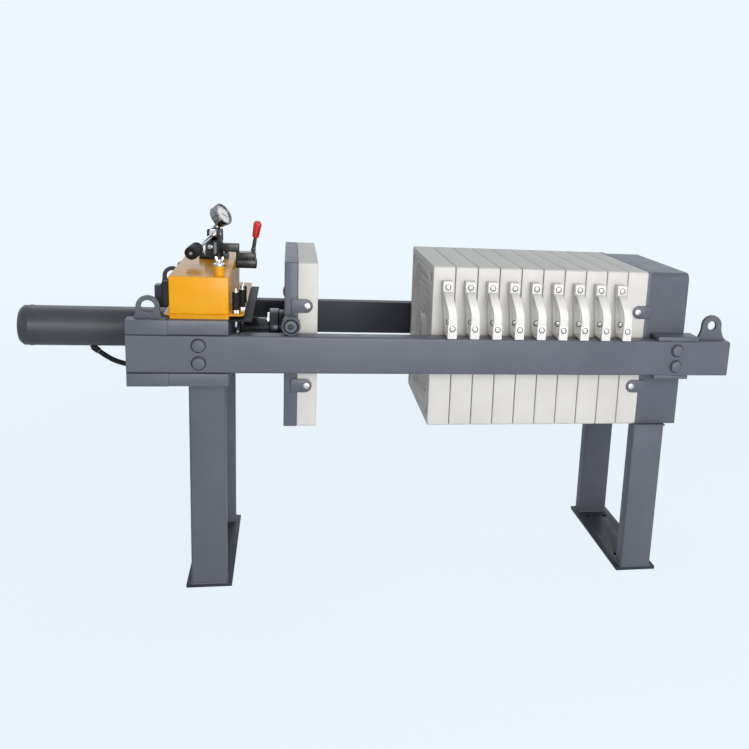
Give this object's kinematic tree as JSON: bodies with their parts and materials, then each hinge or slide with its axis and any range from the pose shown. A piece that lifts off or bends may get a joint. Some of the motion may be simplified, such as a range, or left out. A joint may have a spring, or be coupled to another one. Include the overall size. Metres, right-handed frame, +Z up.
{
  "type": "plate filter press",
  "caption": "Manual hydraulic chamber filter press: a pack of square recessed plates on two side beams between a fixed thrust block and a cylinder-driven pressing plate.",
  "frame": {"origin": "centre of the fixed stand's four anchor holes, on the floor under the thrust block", "axes": "+X along the side beams from the cylinder to the fixed end, +Y across to the far beam, +Z up"},
  "size_m": [1.9561, 0.596, 1.0262],
  "materials": {
    "grey_paint": "satin",
    "white_plastic": "smooth moulded",
    "yellow_paint": "gloss",
    "black_fitting": "gloss",
    "bright_metal": "polished",
    "dark_steel": "gloss"
  },
  "bodies": {
    "frame": {"beam_lifting_lugs": "grey_paint", "cylinder_barrel": "dark_steel", "cylinder_gland": "dark_steel", "cylinder_seat": "grey_paint", "cylinder_stand_base": "grey_paint", "cylinder_stand_legs": "grey_paint", "far_side_beam": "grey_paint", "feed_inlet": "grey_paint", "filler_cap": "bright_metal", "filler_neck": "yellow_paint", "gland_pipe": "bright_metal", "hose_fittings": "bright_metal", "mounting_panel": "grey_paint", "near_side_beam": "grey_paint", "oil_couplings": "black_fitting", "oil_tank": "yellow_paint", "pressure_gauge": "bright_metal", "pump_body": "black_fitting", "return_hose": "black_fitting", "seat_bolts": "grey_paint", "seat_lifting_lugs": "grey_paint", "tail_end_plate": "white_plastic", "tail_plate_clips": "grey_paint", "tank_cover": "yellow_paint", "tank_side_grips": "black_fitting", "thrust_bearers": "grey_paint", "thrust_block": "grey_paint", "thrust_bolts": "grey_paint", "thrust_stand_base": "grey_paint", "thrust_stand_legs": "grey_paint", "valve_block": "black_fitting"},
    "plate_1": {"filter_plate_1": "white_plastic", "plate_handles_1": "white_plastic"},
    "plate_2": {"filter_plate_2": "white_plastic", "plate_handles_2": "white_plastic"},
    "plate_3": {"filter_plate_3": "white_plastic", "plate_handles_3": "white_plastic"},
    "plate_4": {"filter_plate_4": "white_plastic", "plate_handles_4": "white_plastic"},
    "plate_5": {"filter_plate_5": "white_plastic", "plate_handles_5": "white_plastic"},
    "plate_6": {"filter_plate_6": "white_plastic", "plate_handles_6": "white_plastic"},
    "plate_7": {"filter_plate_7": "white_plastic", "plate_handles_7": "white_plastic"},
    "plate_8": {"filter_plate_8": "white_plastic", "plate_handles_8": "white_plastic"},
    "plate_9": {"filter_plate_9": "white_plastic", "plate_handles_9": "white_plastic"},
    "pressing": {"pressing_plate": "grey_paint", "head_end_plate": "white_plastic", "head_plate_clips": "grey_paint", "piston_rod": "dark_steel", "roller_axles": "grey_paint", "flange_studs": "bright_metal"},
    "near_roller": {"near_roller": "grey_paint"},
    "far_roller": {"far_roller": "grey_paint"},
    "valve_lever": {"valve_lever": "black_fitting"},
    "pump_lever": {"pump_lever": "black_fitting"}
  },
  "joints": [
    {"name": "press_slide", "type": "slide", "parent": "frame", "child": "pressing", "axis": [-1, 0, 0], "range_m": [-0.302, 0]},
    {"name": "near_roller_spin", "type": "hinge", "parent": "pressing", "child": "near_roller", "pos_m": [-1.0327, -0.269, 0.7483], "axis": [0, 1, 0], "range_deg": [-5, 697.1]},
    {"name": "far_roller_spin", "type": "hinge", "parent": "pressing", "child": "far_roller", "pos_m": [-1.0327, 0.269, 0.7483], "axis": [0, 1, 0], "range_deg": [-5, 697.1]},
    {"name": "plate_9_slide", "type": "slide", "parent": "frame", "child": "plate_9", "axis": [-1, 0, 0], "range_m": [0, 0.033]},
    {"name": "plate_8_slide", "type": "slide", "parent": "plate_9", "child": "plate_8", "axis": [-1, 0, 0], "range_m": [0, 0.033]},
    {"name": "plate_7_slide", "type": "slide", "parent": "plate_8", "child": "plate_7", "axis": [-1, 0, 0], "range_m": [0, 0.033]},
    {"name": "plate_6_slide", "type": "slide", "parent": "plate_7", "child": "plate_6", "axis": [-1, 0, 0], "range_m": [0, 0.033]},
    {"name": "plate_5_slide", "type": "slide", "parent": "plate_6", "child": "plate_5", "axis": [-1, 0, 0], "range_m": [0, 0.033]},
    {"name": "plate_4_slide", "type": "slide", "parent": "plate_5", "child": "plate_4", "axis": [-1, 0, 0], "range_m": [0, 0.033]},
    {"name": "plate_3_slide", "type": "slide", "parent": "plate_4", "child": "plate_3", "axis": [-1, 0, 0], "range_m": [0, 0.033]},
    {"name": "plate_2_slide", "type": "slide", "parent": "plate_3", "child": "plate_2", "axis": [-1, 0, 0], "range_m": [0, 0.033]},
    {"name": "plate_1_slide", "type": "slide", "parent": "plate_2", "child": "plate_1", "axis": [-1, 0, 0], "range_m": [0, 0.033]},
    {"name": "valve_lever_tilt", "type": "hinge", "parent": "frame", "child": "valve_lever", "pos_m": [-1.1416, 0.1, 0.8973], "axis": [0, 1, 0], "range_deg": [-15, 15]},
    {"name": "pump_lever_swing", "type": "hinge", "parent": "frame", "child": "pump_lever", "pos_m": [-1.2516, 0.1, 0.94], "axis": [0.9613, -0.2756, 0], "range_deg": [-25, 0]}
  ],
  "couplings": [
    {"joint": "near_roller_spin", "follows": "press_slide", "rad_per_m": -40},
    {"joint": "far_roller_spin", "follows": "press_slide", "rad_per_m": -40}
  ]
}
